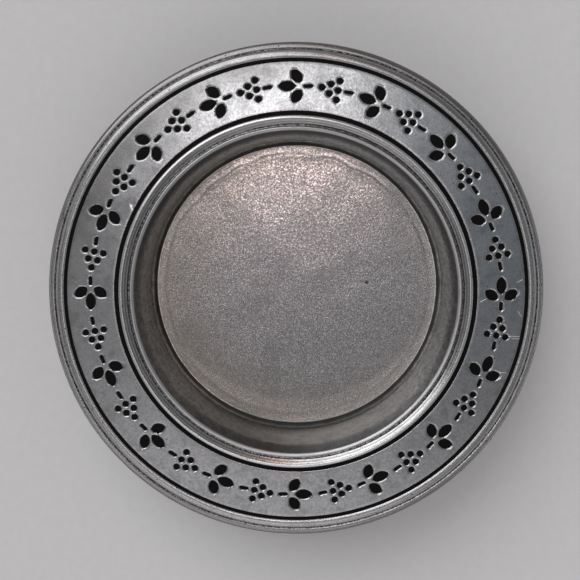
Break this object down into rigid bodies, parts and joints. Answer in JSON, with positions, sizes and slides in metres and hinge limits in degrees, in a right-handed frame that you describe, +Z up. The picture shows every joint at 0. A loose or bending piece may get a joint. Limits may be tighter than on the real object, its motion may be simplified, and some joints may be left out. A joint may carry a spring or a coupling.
{
  "type": "wine bottle coaster",
  "caption": "Round cast-metal bottle coaster with a flat-floored well, a broad moulded rim, black-filled grooves and vine border, and a felt base pad.",
  "frame": {"origin": "on the axis of the dish, at the underside of the base pad, where it rests on the table", "axes": "+Z up along the axis of the dish, out of the bottle well; +X and +Y to the right and upwards in the picture"},
  "size_m": [0.1512, 0.1512, 0.0312],
  "materials": {
    "cast_alloy": "sand-cast floor, turned wall and mouldings, burnished rim",
    "black_fill": "matte black filling enamel",
    "felt": "dense wool felt",
    "adhesive": "thin adhesive film"
  },
  "bodies": {
    "root": {"cast_dish": "cast_alloy", "outer_groove_fill": "black_fill", "inner_groove_fill": "black_fill", "leaf_fills": "black_fill", "grape_fills": "black_fill", "stem_fills": "black_fill", "base_pad": "felt", "pad_adhesive": "adhesive"}
  },
  "joints": []
}
